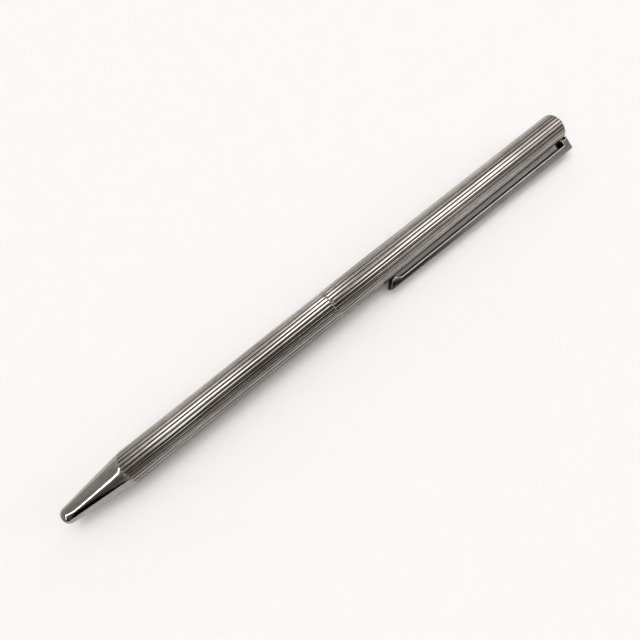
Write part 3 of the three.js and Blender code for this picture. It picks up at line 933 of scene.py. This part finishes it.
def make_refill():
    """The refill's brass tube, its turned point with the ball's socket, and the ball."""
    tube = tube_section(TUBE_START, REFILL_END, REFILL_RADIUS, REFILL_BORE)
    make_turned("refill_body_tube", tube, brass, "refill", "refill_tube")
    stem_radius = REFILL_BORE - SEATED
    stem_end = TUBE_START + TIP_STEM_LENGTH
    section = [
        (TIP_START, TIP_FACE_RADIUS),
        (TIP_START + TIP_CONE / 2, (TIP_FACE_RADIUS + TIP_CONE_RADIUS) / 2),
        (SHOULDER_PLACE, TIP_CONE_RADIUS),
        (SHOULDER_PLACE, REFILL_RADIUS),
        (TUBE_START - SEATED, REFILL_RADIUS),
        (TUBE_START - SEATED, stem_radius),
        (stem_end, stem_radius),
        (stem_end, INK_CHANNEL),
    ]
    seat = BALL_RADIUS + TURNING / 2
    deepest = math.asin(INK_CHANNEL / seat)
    mouth = math.pi - math.acos(BALL_HOLD / seat)
    socket = arc((BALL_PLACE, 0.0), seat, deepest, mouth, steps=12)
    # The first point of the softened rim would lie behind the face, so it is left out.
    point = turned(softened(section, size=0.04)[1:] + socket, round_angles())
    shown(
        "refill_point", settled(point, PLACE), nickel_silver, "refill",
        "refill_tip",
    )
    half_round = arc((BALL_PLACE, 0.0), BALL_RADIUS, math.pi, 0, steps=16)
    ball = turned(half_round, round_angles(ROUND_SIDES // 3))
    shown(
        "refill_point_ball", settled(ball, PLACE, smooth_below=60), steel, "writing_ball",
        "refill_ball",
    )


def finish_inner_solids():
    """The hidden solids keep their shape and get their own materials."""
    finishes = {
        "nose_guide": brass,
        "guide_tube": brass,
        "friction_washer": acetal,
        "retaining_ring": steel,
        "carrier": acetal,
        "follower_pin": steel,
        "cam_sleeve": brass,
        "ink": ink,
        "follower_grease": grease,
        "vent_plug": acetal,
        "clip_block": brass,
    }
    for name, material in finishes.items():
        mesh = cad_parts[name].data
        mesh.materials.clear()
        mesh.materials.append(material)


# Studio


# Each soft light of the room: its reach along the pen and about it in degrees, measured from
# overhead towards the top end and towards the side away from the clip; how far it drifts about
# the pen for each degree along it; its soft edge; and its strength. A dark card has a strength
# below zero.
SOFT_LIGHTS = {
    "strip over the cone": ((-50, -31), (-20, -11), 3.4, 1.0, 9.0),
    "front panel": ((-20, 1), (6, 22), 0.0, 3.0, 3.5),
    "front panel, seam end": ((0, 8), (10, 36), 0.0, 2.0, 4.4),
    "front panel, shoulder end": ((-17, -7), (12, 38), 0.0, 3.0, 2.4),
    "front barrel's high side": ((-22, -3), (26, 50), 0.0, 4.0, 0.25),
    "spot beside the shoulder": ((-18, -12), (-24, -14), 1.5, 2.0, 4.5),
    "spot beside the seam": ((3, 10), (46, 58), 0.0, 3.0, 3.0),
    "spot behind the seam": ((6, 10), (22, 46), 0.0, 3.0, 4.0),
    "rear panel": ((12, 33), (-24, 4), 0.0, 3.0, 2.8),
    "rear panel, high side": ((19, 33), (4, 24), 0.0, 3.0, 3.4),
    "rear panel, far end": ((32, 45), (-26, 20), 0.0, 3.0, 1.4),
    "rear barrel's high side": ((10, 45), (26, 52), 0.0, 4.0, 0.3),
    "rear barrel's low side": ((24, 45), (-78, -36), 0.0, 4.0, 0.2),
    "glint before the clip": ((15, 22), (-63, -54), 0.0, 2.0, 1.6),
    "lamp beyond the top end": ((52, 74), (20, 120), 0.0, 3.0, 2.6),
    "lamp beyond the clip": ((52, 74), (-120, -30), 0.0, 3.0, 3.8),
    "card under the cone": ((-50, -34), (-110, -44), -5.0, 3.0, -0.9),
    "card beside the cone": ((-50, -33), (-60, -20), 0.0, 4.0, -0.22),
    "card over the cone": ((-50, -33), (0, 120), 0.0, 4.0, -0.14),
    "card under the shoulder": ((-25, -11), (-54, -31), 0.0, 2.0, -1.0),
    "card under the front barrel": ((-8, 8), (-52, -29), 0.0, 2.0, -1.0),
    "card over the clip's free end": ((7, 24), (-42, -28), 0.0, 4.0, -0.28),
    "card beside the front barrel": ((-25, 10), (-90, -24), 0.0, 5.0, -0.12),
    "card beside the rear barrel": ((8, 20), (-85, -24), 0.0, 4.0, -0.15),
}
# The room's tone about the pen, from straight down round the clip's side to straight down again.
ROOM_TONES = {
    -180: "#8b8987",
    -92: "#8b8987",
    -60: "#9c9a98",
    -25: "#acaaa8",
    0: "#bab8b6",
    60: "#d6d4d2",
    180: "#d6d4d2",
}


def make_floor():
    """A plain pale floor of matt paper."""
    shape = bmesh.new()
    bmesh.ops.create_circle(
        shape, cap_ends=True, segments=ROUND_SIDES, radius=FLOOR_RADIUS * MM
    )
    data = bpy.data.meshes.new("floor")
    shape.to_mesh(data)
    shape.free()
    paper, tree, shader = new_material("matt_paper_backdrop")
    fibre = grain(tree, (6.0, 6.0, 6.0), seed=4.0)
    colour = node(
        tree,
        MIX,
        {SHARE: fibre, FIRST: linear("#e9e8e7"), SECOND: linear("#e6e5e4")},
        data_type="RGBA",
    )
    wire(shader, {"Base Color": colour, "Roughness": 0.9})
    data.materials.append(paper)
    floor = bpy.data.objects.new("floor", data)
    bpy.context.scene.collection.objects.link(floor)


def make_room():
    """A pale grey room with soft lights and dark cards, placed by tilt and turn about the pen."""
    world = bpy.data.worlds.new("room")
    world.use_nodes = True
    room = world.node_tree
    way = node(room, "ShaderNodeTexCoord").outputs["Generated"]
    parts = node(room, "ShaderNodeSeparateXYZ", {0: way}).outputs
    rise = node(room, MATH, {0: parts[0]}, operation="ARCSINE")
    tilt = node(room, MATH, {0: rise}, operation="DEGREES")
    round_pen = node(room, MATH, {0: parts[1], 1: parts[2]}, operation="ARCTAN2")
    turn = node(room, MATH, {0: round_pen}, operation="DEGREES")
    share = node(room, RANGE, {VALUE: turn, FROM: -180.0, UP_TO: 180.0})
    tones = node(room, "ShaderNodeValToRGB", {0: share})
    band = tones.color_ramp
    band.elements.remove(band.elements[0])
    for i, (degrees, code) in enumerate(ROOM_TONES.items()):
        place = (degrees + 180) / 360
        stop = band.elements[0] if i == 0 else band.elements.new(place)
        stop.position = place
        stop.color = linear(code)
    light = tones
    for tilts, turns, drift, soft, strength in SOFT_LIGHTS.values():
        offset = drift * (tilts[0] + tilts[1]) / 2
        across = node(room, MATH, {0: tilt, 1: -drift, 2: turn}, operation="MULTIPLY_ADD")
        drifted = [edge - offset for edge in turns]
        glow = strength
        for value, (start, end) in ((tilt, tilts), (across, drifted)):
            for edge, before, after in ((start, 0.0, 1.0), (end, 1.0, 0.0)):
                stretch = {VALUE: value, FROM: edge - soft, UP_TO: edge + soft}
                fade = node(
                    room,
                    RANGE,
                    {**stretch, LEAST: before, MOST: after},
                    interpolation_type="SMOOTHSTEP",
                )
                glow = node(room, MATH, {0: glow, 1: fade}, operation="MULTIPLY")
        light = node(room, "ShaderNodeVectorMath", {0: light, 1: glow}, operation="ADD")
    bright = node(room, "ShaderNodeVectorMath", {0: light, 1: (0, 0, 0)}, operation="MAXIMUM")
    shade = next(n for n in room.nodes if n.type == "BACKGROUND")
    wire(shade, {"Color": bright})
    bpy.context.scene.world = world
    bpy.context.scene.view_settings.view_transform = "Standard"


aim_camera()
make_front_barrel()
make_rear_barrel()
make_clip()
make_end_plug()
make_seam_washer()
make_liner()
make_grip_ring()
make_refill()
finish_inner_solids()
make_floor()
make_room()
